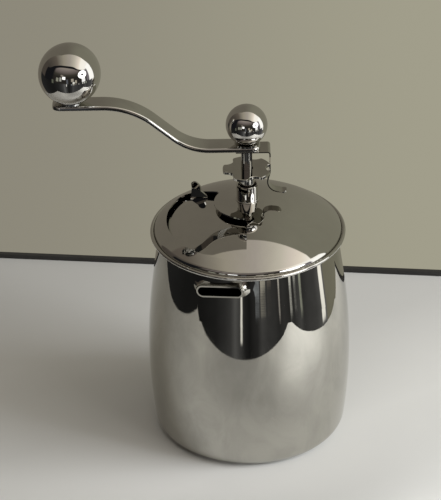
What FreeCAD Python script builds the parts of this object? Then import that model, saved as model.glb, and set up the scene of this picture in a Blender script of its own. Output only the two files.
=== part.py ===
import FreeCAD, Part
import math
import os

V = FreeCAD.Vector

# A table coffee grinder of polished stainless steel. A barrel-shaped can catches the ground
# coffee. A grinding head drops into its mouth: domed lid, hopper, burrs, shaft and crank.
# Millimetres. The can stands on z = 0, its axis is Z, and the crank arm points along -X.

# Can: a deep-drawn barrel
barrel_radius = 52.15      # widest radius
barrel_height = 45.0       # height of the widest place
side_arc = 298.0           # radius of the curved side, seen in section
neck_length = 27.0         # straight upper part of the side, up to the rim
corner_radius = 7.0        # round edge at the foot
can_wall = 0.8
rim_height = 113.0         # the turned-in rim that the head sits on
rim_bend = 1.5
rim_ledge = 1.6            # width of the rim's flat ledge

# Slot under the rim, with a lip pressed outwards
slot_azimuth = -108.0
slot_below_rim = 7.8
slot_tilt = 8.0            # its right end is higher
slot_length = 23.0
slot_gap = 5.0
slot_lip = 0.8             # thickness of the pressed lip
slot_stand_out = 1.6       # how far the lip stands out of the wall
slot_flare = 2.5           # the lip widens by this towards the wall
slot_depth = 3.9

# Lid: a spun dome that stands inside the bead of a rolled flange
flange_radius = 49.75
flange_bead = 1.0          # section radius of the bead
lid_fit = 0.05             # radial, inside the bead
lid_sheet = 0.8
lid_rise = 19.3            # top of the dome above the can's rim
lid_edge_roll = 3.0        # radius of the lid's turned-down edge
lid_edge_depth = 0.7       # straight skirt below it
edge_break = 0.25          # small flats on turned edges
opening_inner = 17.0
opening_outer = 41.3
opening_back_azimuth = 143.5    # azimuths of the filling opening's two straight edges
opening_front_azimuth = 268.2
opening_corner = 2.4

# Door: turns under the lid round the bearing tube
door_sheet = 0.8
door_back_azimuth = 145.5
door_front_azimuth = 275.0
door_radius = 43.5
door_edge_gap = 1.15       # below the lid at its outer edge
door_centre_gap = 2.6      # below the lid near the tube
door_hub = 9.5
door_play = 0.1            # between the door and what holds it, above and below
tab_inner = 24.0           # the finger tab's foot, from and to these radii
tab_outer = 34.1
tab_width = 5.5            # its rounded tongue
tab_height = 9.9           # above the door under the tongue
tab_lean = 10.0            # the foot leans backwards
tab_shoulder = 5.0         # height of the slope beside the tongue, and of the bend
tab_step = 0.6             # height of the slope's lower end
tab_bend = 22.0            # the tongue is bent forwards again
tab_bend_radius = 1.4

# Bearing tube at the top of the lid
tube_radius = 5.5
tube_wall = 0.95
tube_height = 8.7          # above the lid's apex
tube_edge = 0.3            # small flats at its mouth
tube_foot_thick = 0.3
tube_foot_round = 0.55
tube_below = 5.9           # how far the tube reaches under the lid's apex
clip_thick = 0.7
clip_groove = 0.5
clip_radius = 7.4
clip_opening = 3.0
bush_recess = 4.2          # the upper bush stops this far below the tube's mouth

# Hopper
hopper_sheet = 0.8
skirt_length = 3.4         # the part that centres the head in the can's mouth
hopper_depth = 25.0        # from the rim down to its floor
hopper_floor_radius = 25.0
hopper_collar = 3.0        # upright part above the floor
skirt_gap = 0.25           # radial, in the can's mouth

# Burrs
ring_radius = 17.6
ring_flange_radius = 23.4
ring_flange = 3.0
ring_height = 21.2
ring_throat = 11.7         # crest radius at the narrowest place
ring_lower_part = 10.0     # height of the flared lower teeth
ring_mouth_top = 13.2
ring_mouth_bottom = 15.6
ring_teeth = 24
ring_tooth_depth = 1.0
burr_gap = 0.62            # across the fine teeth, at the middle setting
cone_teeth = 21
cone_tooth_depth = 0.9
auger_blades = 5
auger_below_floor = 2.0
cone_set_in = 0.4          # the cone's end lies this far inside the ring
breaker_start = 1.0        # the blades start this far below the throat
breaker_step = 0.3
breaker_wall = 0.9         # least wall round the shaft
auger_top_radius = 5.6
auger_depth = 2.6
auger_twist = 95.0
tooth_twist = 14.0
screw_circle = 20.4
screw_count = 3
screw_radius = 1.25
screw_head_radius = 2.4
screw_head = 1.5
screw_hole_gap = 0.15
screw_grip = 2.6           # how far the screws reach into the bridge
screw_azimuth = 30.0
socket_radius = 1.0
socket_depth = 1.0

# Upper bearing in the hopper: a funnel ring with three arms
bridge_fit = 0.2           # radial, in the hopper's collar
bridge_rise = 4.0
bridge_hub_radius = 6.2
bridge_hub_lift = 4.0      # hub's lower end above the hopper's floor
bridge_hub_length = 8.0
bridge_arm = 2.6
bridge_lip = 1.2           # width of the funnel's upper edge
bridge_floor = 0.8         # thickness at its inner edge
bridge_bush_wall = 1.4

# Shaft
shaft_radius = 3.0
running_fit = 0.05         # radial, shaft in its bushes
drive_flat = 2.35          # half the distance across the drive flats
key_flat = 2.6             # one flat along the adjusting thread
key_below = 1.0            # the flat reaches this far into the upper bush
stub_radius = 2.2          # threaded ends
nut_across = 8.0
nut_height = 3.2
burr_washer_radius = 6.0
burr_washer = 1.0
washer_gap = 0.1           # radial, round the shaft
stub_end = 1.2             # thread left over below the nut
ball_thread = 8.0          # thread inside the ball nut
arm_recess = 0.15          # the shaft's shoulder lies this far inside the arm

# Spring on the shaft between the upper bearing and the inner burr
spring_wire = 0.9
spring_radius = 4.3
spring_turns = 3
thrust_washer = 0.8
thrust_washer_radius = 5.2

# Grind adjuster: a star wheel on the shaft's thread, locked by a leaf spring
star_radius = 12.3
star_lobes = 5
star_notch_radius = 4.0
star_notch_depth = 2.9
star_plate = 1.6
star_above_tube = 8.1      # plate's middle above the tube's mouth
star_tip_round = 1.1
star_edge = 0.2
seat_gap = 0.05            # under the keyed washer
star_hub_radius = 3.8
keyed_washer = 0.75
keyed_washer_radius = 4.15
leaf_thick = 0.6
leaf_width = 11.0
leaf_tail_width = 5.4
leaf_reach = 11.5          # from the axis to the strip's middle
leaf_bend = 1.2
leaf_back = 5.6            # the clamped end behind the axis
leaf_drop = 11.2           # straight down to the first kink
leaf_kink = 6.0            # radii of the bends below, and the straights between them
leaf_kink_angle = 16.0     # towards the axis
leaf_shin = 2.9
leaf_knee = 5.8
leaf_knee_angle = 92.0     # and out again
leaf_slope = 2.6
leaf_toe_bend = 3.0
leaf_toe_angle = 32.0
leaf_toe = 1.2
leaf_tip_round = 2.4
leaf_shoulder = 3.0        # below the arm: the strip starts to narrow here
leaf_neck = 8.5            # and is narrow from here down

# Crank arm: a flat strip bent to an S
arm_thick = 2.3
arm_width = 11.5
arm_above_tube = 20.85     # arm's underside above the tube's mouth
arm_rise = 25.05
arm_inner_end = 6.8
arm_outer_end = 96.3
arm_flat = 18.1            # flat length from the axis to the first bend
arm_angle = 40.9
arm_low_bend = 28.0
arm_high_bend = 38.7
arm_round = 0.4
arm_corner = 4.2

# Ball nut on top, and the turning knob
finial_radius = 10.45
finial_middle = 10.55      # above the arm
finial_washer = 0.8
finial_washer_radius = 6.2
knob_reach = 87.1
knob_radius = 15.5
knob_flat = 0.75           # depth of the flat under the ball
knob_gap = 0.3
knob_washer = 0.7
knob_washer_radius = 5.0
axle_radius = 2.5
axle_stem = 2.0
axle_head_radius = 3.5
axle_head = 1.6
axle_length = 14.0
rivet_radius = 3.7
rivet_head = 1.1
knob_bush_radius = 4.0
knob_head_room = 0.6       # above the axle's head
play = 0.1                 # end play of the knob's bush

seat = 0.02                # a press or screwed joint inside one body


slot_height = rim_height - slot_below_rim
bridge_top_radius = hopper_floor_radius - hopper_sheet - bridge_fit
lid_apex = rim_height + lid_rise
tube_top = lid_apex + tube_height
hopper_floor = rim_height - hopper_depth
ring_top = hopper_floor - hopper_sheet
ring_bottom = ring_top - ring_height
ring_throat_height = ring_bottom + ring_lower_part
auger_top = hopper_floor - auger_below_floor
bridge_hub_bottom = hopper_floor + bridge_hub_lift
star_plate_middle = tube_top + star_above_tube
arm_underside = tube_top + arm_above_tube


def polar(radius, angle):
    a = math.radians(angle)
    return radius * math.cos(a), radius * math.sin(a)


def outline(start, *steps):
    # A closed wire in the XZ plane. A step is a point, or a pair for an arc: a point on it, its end.
    edges = []
    here = V(start[0], 0, start[1])
    for step in steps:
        if isinstance(step[0], tuple):
            via, end = (V(p[0], 0, p[1]) for p in step)
            edges.append(Part.Arc(here, via, end).toShape())
        else:
            end = V(step[0], 0, step[1])
            edges.append(Part.LineSegment(here, end).toShape())
        here = end
    first = V(start[0], 0, start[1])
    if (here - first).Length > 1e-6:
        edges.append(Part.LineSegment(here, first).toShape())
    return Part.Wire(edges)


def turned(start, *steps):
    return Part.Face(outline(start, *steps)).revolve(V(0, 0, 0), V(0, 0, 1), 360)


def on_arc(centre, radius, angle):
    x, z = polar(radius, angle)
    return centre[0] + x, centre[1] + z


def disc(radius, bottom, top):
    return Part.makeCylinder(radius, top - bottom, V(0, 0, bottom))


def ring(outer, inner, bottom, top):
    return disc(outer, bottom, top).cut(disc(inner, bottom - 1, top + 1))


def flatted(radius, flat, bottom, top):
    # a round bar with two flats, facing +Y and -Y
    bar = disc(radius, bottom, top)
    return bar.common(Part.makeBox(4 * radius, 2 * flat, top - bottom, V(-2 * radius, -flat, bottom)))


def around(shape, count, first=0.0):
    copies = []
    for n in range(count):
        copy = shape.copy()
        copy.rotate(V(0, 0, 0), V(0, 0, 1), first + n * 360.0 / count)
        copies.append(copy)
    return copies


def sector(inner, outer, start, end, bottom, top, corner):
    # a block over a ring sector, with its upright corners rounded
    middle = (start + end) / 2
    points = {k: V(*polar(r, a), bottom) for k, r, a in (
        ("a", outer, start), ("b", outer, middle), ("c", outer, end),
        ("d", inner, end), ("e", inner, middle), ("f", inner, start))}
    wire = Part.Wire([
        Part.Arc(points["a"], points["b"], points["c"]).toShape(),
        Part.LineSegment(points["c"], points["d"]).toShape(),
        Part.Arc(points["d"], points["e"], points["f"]).toShape(),
        Part.LineSegment(points["f"], points["a"]).toShape()])
    block = Part.Face(wire).extrude(V(0, 0, top - bottom))
    upright = [e for e in block.Edges if abs(e.BoundBox.ZLength - (top - bottom)) < 1e-6]
    return block.makeFillet(corner, upright)


# The can's side

side_lean = math.degrees(math.asin((rim_height - neck_length - barrel_height) / side_arc))
side_centre = (barrel_radius - side_arc, barrel_height)
corner_centre = (
    side_centre[0] + math.sqrt((side_arc - corner_radius) ** 2 - (barrel_height - corner_radius) ** 2),
    corner_radius)
corner_angle = math.degrees(math.atan2(
    corner_centre[1] - side_centre[1], corner_centre[0] - side_centre[0]))


def neck_radius(z):
    knee = on_arc(side_centre, side_arc, side_lean)
    return knee[0] - (z - knee[1]) * math.tan(math.radians(side_lean))


def rim_centre():
    # centre of the bend between the neck and the rim's ledge
    height = rim_height - rim_bend
    lean = math.radians(side_lean)
    return neck_radius(height + rim_bend * math.sin(lean)) - rim_bend * math.cos(lean), height


mouth_radius = rim_centre()[0] - rim_ledge + rim_bend


def barrel(inset):
    # the can's outer skin, or the space inside a wall of the given thickness
    bend = rim_centre()
    low, high = corner_angle, side_lean
    return turned(
        (0, inset),
        (corner_centre[0], inset),
        (on_arc(corner_centre, corner_radius - inset, (low - 90) / 2),
         on_arc(corner_centre, corner_radius - inset, low)),
        (on_arc(side_centre, side_arc - inset, (low + high) / 2),
         on_arc(side_centre, side_arc - inset, high)),
        on_arc(bend, rim_bend - inset, high),
        (on_arc(bend, rim_bend - inset, (high + 90) / 2), on_arc(bend, rim_bend - inset, 90)),
        (0, rim_height - inset))


def slot_wire(distance, grow):
    # the slot's outline, grown all round, in a plane at this distance from the axis
    half = (slot_length - slot_gap) / 2
    r = slot_gap / 2 + grow
    top = [V(distance, half, r), V(distance, half + r, 0), V(distance, half, -r)]
    low = [V(distance, -half, -r), V(distance, -half - r, 0), V(distance, -half, r)]
    wire = Part.Wire([
        Part.Arc(*top).toShape(),
        Part.LineSegment(top[2], low[0]).toShape(),
        Part.Arc(*low).toShape(),
        Part.LineSegment(low[2], top[0]).toShape()])
    wire.rotate(V(0, 0, 0), V(1, 0, 0), slot_tilt)
    wire.translate(V(0, 0, slot_height))
    wire.rotate(V(0, 0, 0), V(0, 0, 1), slot_azimuth)
    return wire


def slot_trumpet(extra, reach):
    # a mouth that widens smoothly towards the inside of the wall
    end = neck_radius(slot_height) + slot_stand_out
    flare = ((0.0, 0.0), (0.23, 0.03), (0.49, 0.2), (0.74, 0.52), (1.0, 1.0))
    wires = [slot_wire(end - slot_depth * a, extra + slot_flare * b) for a, b in flare]
    horn = Part.makeLoft(wires, True, False)
    if not reach:
        return horn
    wide = extra + slot_flare
    beyond = [slot_wire(end - slot_depth, wide), slot_wire(end - slot_depth - reach, wide)]
    before = [slot_wire(end + slot_stand_out, extra), slot_wire(end, extra)]
    return horn.fuse([Part.makeLoft(beyond, True, True), Part.makeLoft(before, True, True)])


def make_can():
    space = barrel(can_wall)
    shell = barrel(0.0).cut(space).cut(disc(mouth_radius, rim_height - 3 * can_wall, rim_height + can_wall))
    lip = slot_trumpet(slot_lip, 0).cut(space)
    return shell.fuse(lip).cut(slot_trumpet(0.0, slot_gap)).removeSplitter()


# The lid's dome: a shallow ball cap that runs into the turned-down edge

lid_radius = flange_radius - 2 * flange_bead - lid_fit
lid_seat = rim_height + hopper_sheet
roll_height = lid_seat + lid_edge_depth
dome_rise = lid_apex - roll_height
roll_centre = (lid_radius - lid_edge_roll, roll_height)
dome_radius = (roll_centre[0] ** 2 + dome_rise ** 2 - lid_edge_roll ** 2) / (2 * (dome_rise - lid_edge_roll))
dome_centre = (0.0, lid_apex - dome_radius)


def dome_height(radius, inset=0.0):
    return dome_centre[1] + math.sqrt((dome_radius - inset) ** 2 - radius ** 2)


def make_lid():
    hole = tube_radius + seat
    join = math.degrees(math.atan2(roll_centre[1] - dome_centre[1], roll_centre[0]))
    inner = dome_radius - lid_sheet
    roll = lid_edge_roll - lid_sheet
    start_out = math.degrees(math.acos(hole / dome_radius))
    start_in = math.degrees(math.acos(hole / inner))
    lid = turned(
        (hole, dome_height(hole)),
        (on_arc(dome_centre, dome_radius, (start_out + join) / 2), on_arc(dome_centre, dome_radius, join)),
        (on_arc(roll_centre, lid_edge_roll, join / 2), on_arc(roll_centre, lid_edge_roll, 0)),
        (lid_radius, lid_seat + edge_break),
        (lid_radius - edge_break, lid_seat),
        (lid_radius - lid_sheet, lid_seat),
        on_arc(roll_centre, roll, 0),
        (on_arc(roll_centre, roll, join / 2), on_arc(roll_centre, roll, join)),
        (on_arc(dome_centre, inner, (start_in + join) / 2), (hole, dome_height(hole, lid_sheet))))
    hole_block = sector(opening_inner, opening_outer, opening_back_azimuth, opening_front_azimuth,
                        rim_height, lid_apex + lid_sheet, opening_corner)
    return lid.cut(hole_block)


# The door: flatter than the lid, so that it clears it more near the tube

door_top = lid_apex - lid_sheet - door_centre_gap
tab_sink = 0.6 * door_sheet
door_drop = door_top - (dome_height(door_radius, lid_sheet) - door_edge_gap)
door_ball = (door_radius ** 2 + door_drop ** 2) / (2 * door_drop)


def door_height(radius):
    return door_top - door_ball + math.sqrt(door_ball ** 2 - radius ** 2)


def domed_ring(inner, outer):
    # the door's domed sheet between two radii, all the way round
    centre = (0.0, door_top - door_ball)
    under = door_ball - door_sheet
    a, b = (math.degrees(math.acos(r / door_ball)) for r in (inner, outer))
    c, d = (math.degrees(math.acos(r / under)) for r in (outer, inner))
    return turned(
        on_arc(centre, door_ball, a),
        (on_arc(centre, door_ball, (a + b) / 2), on_arc(centre, door_ball, b)),
        on_arc(centre, under, c),
        (on_arc(centre, under, (c + d) / 2), on_arc(centre, under, d)))


def make_door():
    bore = tube_radius + running_fit
    outline_block = sector(bore, door_radius, door_back_azimuth, door_front_azimuth,
                           rim_height, lid_apex, opening_corner)
    blade = domed_ring(bore, door_radius + door_sheet).common(outline_block)
    return blade.fuse(domed_ring(bore, door_hub)).fuse(make_tab())


def make_tab():
    # A tongue bent up from the door's back edge. Its outer side stands square, its inner side slopes.
    # Drawn with X along the door's way round and Y towards the axis, then turned to its place.
    half = tab_width / 2
    foot = door_height(tab_outer) - tab_sink
    tongue = tab_outer - half
    level = door_height(tongue)
    bend = level + tab_shoulder
    top = level + tab_height
    heading = 90.0 + tab_lean
    low = (bend - foot) / math.cos(math.radians(tab_lean))
    forward = (door_height(tab_inner) - foot) * math.tan(math.radians(tab_lean)) + door_sheet / 2
    body = strip(
        (forward, foot), heading, door_sheet, 3 * tab_outer,
        low, (tab_bend_radius, -tab_bend), tab_height)
    corners = [
        V(0, -tab_inner, door_height(tab_inner) - tab_sink), V(0, -tab_outer, foot),
        V(0, -tab_outer, top - half),
        V(0, tab_width - tab_outer, top - half), V(0, tab_width - tab_outer, bend),
        V(0, -tab_inner, door_height(tab_inner) + tab_step)]
    edges = [Part.LineSegment(corners[n], corners[n + 1]).toShape() for n in (0, 1)]
    edges.append(Part.Arc(corners[2], V(0, -tongue, top), corners[3]).toShape())
    edges += [Part.LineSegment(corners[n], corners[(n + 1) % 6]).toShape() for n in (3, 4, 5)]
    side = Part.Face(Part.Wire(edges))
    side.translate(V(-tab_outer, 0, 0))
    tab = body.common(side.extrude(V(2 * tab_outer, 0, 0)))
    tab.rotate(V(0, 0, 0), V(0, 0, 1), door_back_azimuth + 90.0)
    return tab


# The bearing tube, its bush, and what holds the door on it

tube_bottom = lid_apex - tube_below
bush_top = tube_top - bush_recess
clip_top = door_height(clip_radius) - door_sheet - door_play


def make_tube():
    foot = tube_radius + tube_foot_round
    base = dome_height(foot)
    rise = base + tube_foot_thick
    groove = tube_radius - clip_groove
    inner = tube_radius - tube_wall
    return turned(
        (inner, tube_bottom),
        (tube_radius, tube_bottom),
        (tube_radius, clip_top - clip_thick),
        (groove, clip_top - clip_thick),
        (groove, clip_top),
        (tube_radius, clip_top),
        (tube_radius, dome_height(tube_radius)),
        ((tube_radius + tube_foot_round / 2, dome_height(tube_radius + tube_foot_round / 2)), (foot, base)),
        (foot, rise),
        (on_arc((foot, rise + tube_foot_round), tube_foot_round, 225), (tube_radius, rise + tube_foot_round)),
        (tube_radius, tube_top - tube_edge),
        (tube_radius - tube_edge, tube_top),
        (inner + tube_edge, tube_top),
        (inner, tube_top - tube_edge))


def make_upper_bush():
    return ring(tube_radius - tube_wall, shaft_radius + running_fit, tube_bottom + tube_edge, bush_top)


def make_door_clip():
    whole = ring(clip_radius, tube_radius - clip_groove, clip_top - clip_thick, clip_top)
    gap = Part.makeBox(clip_radius * 2, clip_opening, 3 * clip_thick,
                       V(0, -clip_opening / 2, clip_top - 2 * clip_thick))
    gap.rotate(V(0, 0, 0), V(0, 0, 1), 60)
    return whole.cut(gap)


def make_door_spacer():
    outer = clip_radius
    inner = tube_radius + seat
    return turned(
        (inner, door_height(inner) + door_play),
        (outer, door_height(inner) + door_play),
        (outer, dome_height(outer, lid_sheet) - seat),
        (inner, dome_height(outer, lid_sheet) - seat))


# The hopper under the lid

skirt_radius = mouth_radius - skirt_gap
bead_centre = (flange_radius - flange_bead, rim_height + flange_bead)


def make_hopper():
    t = hopper_sheet
    bead_low = (bead_centre[0], rim_height)
    low = rim_height - skirt_length
    deep = hopper_floor - t
    slant = t * math.tan(math.radians(22.5))
    hopper = turned(
        (skirt_radius, rim_height),
        bead_low,
        (on_arc(bead_centre, flange_bead, 0), on_arc(bead_centre, flange_bead, 90)),
        (on_arc(bead_centre, flange_bead, 135), on_arc(bead_centre, flange_bead, 160)),
        (bead_centre[0] - flange_bead, rim_height + t),
        (skirt_radius - t, rim_height + t),
        (skirt_radius - t, low),
        (hopper_floor_radius - t, hopper_floor + hopper_collar),
        (hopper_floor_radius - t, hopper_floor),
        (ring_mouth_top + ring_tooth_depth, hopper_floor),
        (ring_mouth_top + ring_tooth_depth, deep),
        (hopper_floor_radius, deep),
        (hopper_floor_radius, hopper_floor + hopper_collar - slant),
        (skirt_radius, low - slant))
    holes = screw_holes(screw_radius + screw_hole_gap, deep - t, hopper_floor + t)
    return hopper.cut(holes)


def screw_holes(radius, bottom, top):
    hole = Part.makeCylinder(radius, top - bottom, V(screw_circle, 0, bottom))
    return Part.makeCompound(around(hole, screw_count, screw_azimuth))


# Burrs: coarse spiral breakers above, fine slanting teeth below

def toothed(teeth, crest, root, z, turn):
    # a star polygon: crest and root radii in turn
    points = []
    for n in range(teeth):
        pitch = 360.0 / teeth
        for radius, part in ((crest, 0.0), (root, 0.72)):
            points.append(V(*polar(radius, turn + (n + part) * pitch), z))
    return Part.makePolygon(points + [points[0]])


def throat_radius(z):
    # the ring burr's crest radius at a height
    if z > ring_throat_height:
        part = (z - ring_throat_height) / (hopper_floor - hopper_sheet - ring_throat_height)
        return ring_throat + part * (ring_mouth_top - ring_throat)
    part = (ring_throat_height - z) / (ring_throat_height - ring_bottom)
    return ring_throat + part * (ring_mouth_bottom - ring_throat)


flare_angle = math.atan2(ring_mouth_bottom - ring_throat, ring_throat_height - ring_bottom)


def make_ring_burr():
    body = disc(ring_radius, ring_bottom, ring_top).fuse(
        disc(ring_flange_radius, ring_top - ring_flange, ring_top))
    levels = (
        (ring_bottom, 0.0),
        (ring_throat_height, tooth_twist),
        (ring_top, tooth_twist * 2))
    wires = []
    for z, turn in levels:
        crest = throat_radius(z)
        wires.append(toothed(ring_teeth, crest, crest + ring_tooth_depth, z, turn))
    holes = screw_holes(screw_radius + screw_hole_gap, ring_top - 2 * ring_flange, ring_top + ring_flange)
    return body.cut(Part.makeLoft(wires, True, True)).cut(holes)


cone_bottom = ring_bottom + cone_set_in
cone_break = ring_throat_height - breaker_start


def cone_radius(z):
    return throat_radius(z) - burr_gap / math.cos(flare_angle)


def make_cone_burr():
    fine = Part.makeLoft([
        toothed(cone_teeth, cone_radius(z), cone_radius(z) - cone_tooth_depth, z, turn)
        for z, turn in ((cone_bottom, 4.0), (cone_break, 4.0 - tooth_twist))], True, True)
    blades = []
    steps = 4
    for n in range(steps + 1):
        part = n / steps
        z = cone_break + part * (auger_top - cone_break)
        widest = cone_radius(cone_break) - breaker_step
        crest = widest + part * (auger_top_radius - widest)
        blades.append(toothed(auger_blades, crest, max(crest - auger_depth, shaft_radius + breaker_wall), z,
                              -part * auger_twist))
    cone = fine.fuse(Part.makeLoft(blades, True, True))
    bore = flatted(shaft_radius + seat, drive_flat + seat, cone_bottom - 1, auger_top + 1)
    return cone.cut(bore)


def make_burr_screws():
    bottom = ring_top - ring_flange
    screw = Part.makeCylinder(screw_head_radius, screw_head, V(screw_circle, 0, bottom - screw_head))
    stem_length = ring_flange + hopper_sheet + screw_grip
    stem = Part.makeCylinder(screw_radius, stem_length, V(screw_circle, 0, bottom))
    socket = Part.makeCylinder(socket_radius, socket_depth, V(screw_circle, 0, bottom - screw_head))
    return Part.makeCompound(around(screw.fuse(stem).cut(socket), screw_count, screw_azimuth))


# The upper bearing: a funnel ring with arms up to a hub

def make_bridge():
    inner = ring_mouth_top + ring_tooth_depth
    rim = hopper_floor + bridge_rise
    hub_top = bridge_hub_bottom + bridge_hub_length
    half = bridge_arm / 2
    funnel = turned(
        (inner, hopper_floor),
        (bridge_top_radius, hopper_floor),
        (bridge_top_radius, rim),
        (bridge_top_radius - bridge_lip, rim),
        (inner, hopper_floor + bridge_floor))
    hub = disc(bridge_hub_radius, bridge_hub_bottom, hub_top)
    web = Part.Face(outline(
        (bridge_hub_radius - half, bridge_hub_bottom),
        (bridge_hub_radius + bridge_arm, bridge_hub_bottom),
        (inner + bridge_floor, hopper_floor + bridge_floor / 2),
        (bridge_top_radius - bridge_lip, hopper_floor + bridge_floor / 2),
        (bridge_top_radius - bridge_lip, rim),
        (bridge_hub_radius + 2 * bridge_arm, hub_top - half),
        (bridge_hub_radius - half, hub_top - half)))
    arm = web.extrude(V(0, bridge_arm, 0))
    arm.translate(V(0, -half, 0))
    bridge = funnel.fuse([hub] + around(arm, screw_count, screw_azimuth + 180.0 / screw_count))
    bore = disc(shaft_radius + running_fit + bridge_bush_wall, bridge_hub_bottom - 1, hub_top + 1)
    holes = screw_holes(screw_radius + seat, hopper_floor - screw_grip, hopper_floor + screw_grip + 2 * seat)
    return bridge.cut(bore).cut(holes).removeSplitter()


def make_bridge_bush():
    inner = shaft_radius + running_fit
    return ring(inner + bridge_bush_wall, inner, bridge_hub_bottom, bridge_hub_bottom + bridge_hub_length)


# The shaft and what turns with it

shaft_shoulder = arm_underside - leaf_thick
arm_top = arm_underside + arm_thick
nut_top = cone_bottom - burr_washer
shaft_bottom = nut_top - nut_height - stub_end
stub_top = arm_top + finial_washer + ball_thread


def make_shaft():
    stub = disc(stub_radius, shaft_bottom, cone_bottom)
    drive = flatted(shaft_radius, drive_flat, cone_bottom, auger_top)
    main = disc(shaft_radius, auger_top, shaft_shoulder)
    wide = 2 * shaft_radius
    low = bush_top - key_below
    key = Part.makeBox(wide, 2 * wide, shaft_shoulder - low, V(key_flat, -wide, low))
    head = flatted(shaft_radius, drive_flat, shaft_shoulder, arm_top - arm_recess)
    top = disc(stub_radius, arm_top - arm_recess, stub_top)
    return stub.fuse([drive, main.cut(key), head, top]).removeSplitter()


def make_burr_washer():
    return ring(burr_washer_radius, stub_radius + washer_gap, nut_top, cone_bottom)


def make_burr_nut():
    corner = nut_across / 2 / math.cos(math.radians(30))
    points = [V(*polar(corner, 60 * n), nut_top - nut_height) for n in range(7)]
    nut = Part.Face(Part.makePolygon(points)).extrude(V(0, 0, nut_height))
    round_off = disc(corner - edge_break, nut_top - nut_height, nut_top)
    return nut.common(round_off).cut(disc(stub_radius + seat, nut_top - nut_height - 1, nut_top + 1))


def make_thrust_washer():
    return ring(thrust_washer_radius, shaft_radius + washer_gap, auger_top + seat, auger_top + thrust_washer)


def make_spring():
    # half turns of a rising coil, as tangent arcs, with a round section swept along them
    bottom = auger_top + thrust_washer + spring_wire / 2 + seat
    top = bridge_hub_bottom - spring_wire / 2 - seat
    halves = 2 * spring_turns
    quarters = 2 * halves
    rise = (top - bottom) / quarters
    points = []
    for n in range(2 * quarters + 1):
        x, y = polar(spring_radius, n * 45.0)
        points.append(V(x, y, bottom + rise * n / 2))
    edges = []
    for n in range(quarters):
        edges.append(Part.Arc(points[2 * n], points[2 * n + 1], points[2 * n + 2]).toShape())
    path = Part.Wire(edges)
    tangent = edges[0].tangentAt(edges[0].FirstParameter)
    section = Part.Wire([Part.makeCircle(spring_wire / 2, points[0], tangent)])
    print("spring gap to itself", round(spring_gap(points, quarters), 2), "mm")
    return path.makePipeShell([section], True, False)


def spring_gap(points, quarters):
    # least distance between wire centres a turn apart, less the wire
    turn = 8
    apart = [(points[n + turn] - points[n]).Length for n in range(len(points) - turn)]
    return min(apart) - spring_wire


# The adjuster

keyed_bottom = bush_top + seat_gap
star_hub_bottom = keyed_bottom + keyed_washer + seat


def key_bar(extra, bottom, top):
    bar = disc(shaft_radius + extra, bottom, top)
    wide = 2 * shaft_radius
    return bar.cut(Part.makeBox(wide, 2 * wide, top - bottom, V(key_flat + extra, -wide, bottom)))


def make_keyed_washer():
    top = keyed_bottom + keyed_washer
    return disc(keyed_washer_radius, keyed_bottom, top).cut(key_bar(running_fit, keyed_bottom - 1, top + 1))


def make_star_wheel():
    low = star_plate_middle - star_plate / 2
    plate = disc(star_radius, low, low + star_plate)
    place = star_radius - star_notch_depth + star_notch_radius
    first = 180.0 / star_lobes + 180.0
    notch = Part.makeCylinder(star_notch_radius, star_plate + 2, V(place, 0, low - 1))
    plate = plate.cut(Part.makeCompound(around(notch, star_lobes, first)))
    tips = [e for e in plate.Edges
            if abs(e.BoundBox.ZLength - star_plate) < 1e-6 and e.BoundBox.XLength < 1e-6
            and math.hypot(e.BoundBox.Center.x, e.BoundBox.Center.y) > star_radius - star_edge]
    plate = plate.makeFillet(star_tip_round, tips)
    rim = [e for e in plate.Edges if e.BoundBox.ZLength < 1e-6]
    plate = plate.makeChamfer(star_edge, rim)
    hub = disc(star_hub_radius, star_hub_bottom, low + star_plate / 2)
    bore = disc(shaft_radius + running_fit, star_hub_bottom - 1, low + star_plate + 1)
    return plate.fuse(hub).cut(bore).removeSplitter()


def strip(start, heading, thickness, width, *steps):
    # A flat strip bent along a path in the XZ plane. A step is a length, or a bend (radius, angle)
    # that turns left when its angle is positive. Both faces follow the path at half the thickness.
    x, z = start
    sides = {1: [], -1: []}
    for step in steps:
        if isinstance(step, tuple):
            radius, angle = step
            side = 1 if angle > 0 else -1
            cx, cz = polar(radius, heading + 90 * side)
            centre = (x + cx, z + cz)
            begin = heading - 90 * side
            for s in (1, -1):
                r = radius - s * side * thickness / 2
                stops = [on_arc(centre, r, begin + angle * part) for part in (0, 0.5, 1)]
                sides[s].append(Part.Arc(*[V(p[0], 0, p[1]) for p in stops]).toShape())
            x, z = on_arc(centre, radius, begin + angle)
            heading += angle
        else:
            dx, dz = polar(step, heading)
            for s in (1, -1):
                ox, oz = polar(thickness / 2, heading + 90 * s)
                begin = V(x + ox, 0, z + oz)
                sides[s].append(Part.LineSegment(begin, begin + V(dx, 0, dz)).toShape())
            x, z = x + dx, z + dz
    first = [sides[s][0].firstVertex(True).Point for s in (1, -1)]
    last = [sides[s][-1].lastVertex(True).Point for s in (1, -1)]
    ends = [Part.LineSegment(*first).toShape(), Part.LineSegment(*last).toShape()]
    wire = Part.Wire(Part.__sortEdges__(sides[1] + sides[-1] + ends))
    solid = Part.Face(wire).extrude(V(0, width, 0))
    solid.translate(V(0, -width / 2, 0))
    return solid


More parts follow.
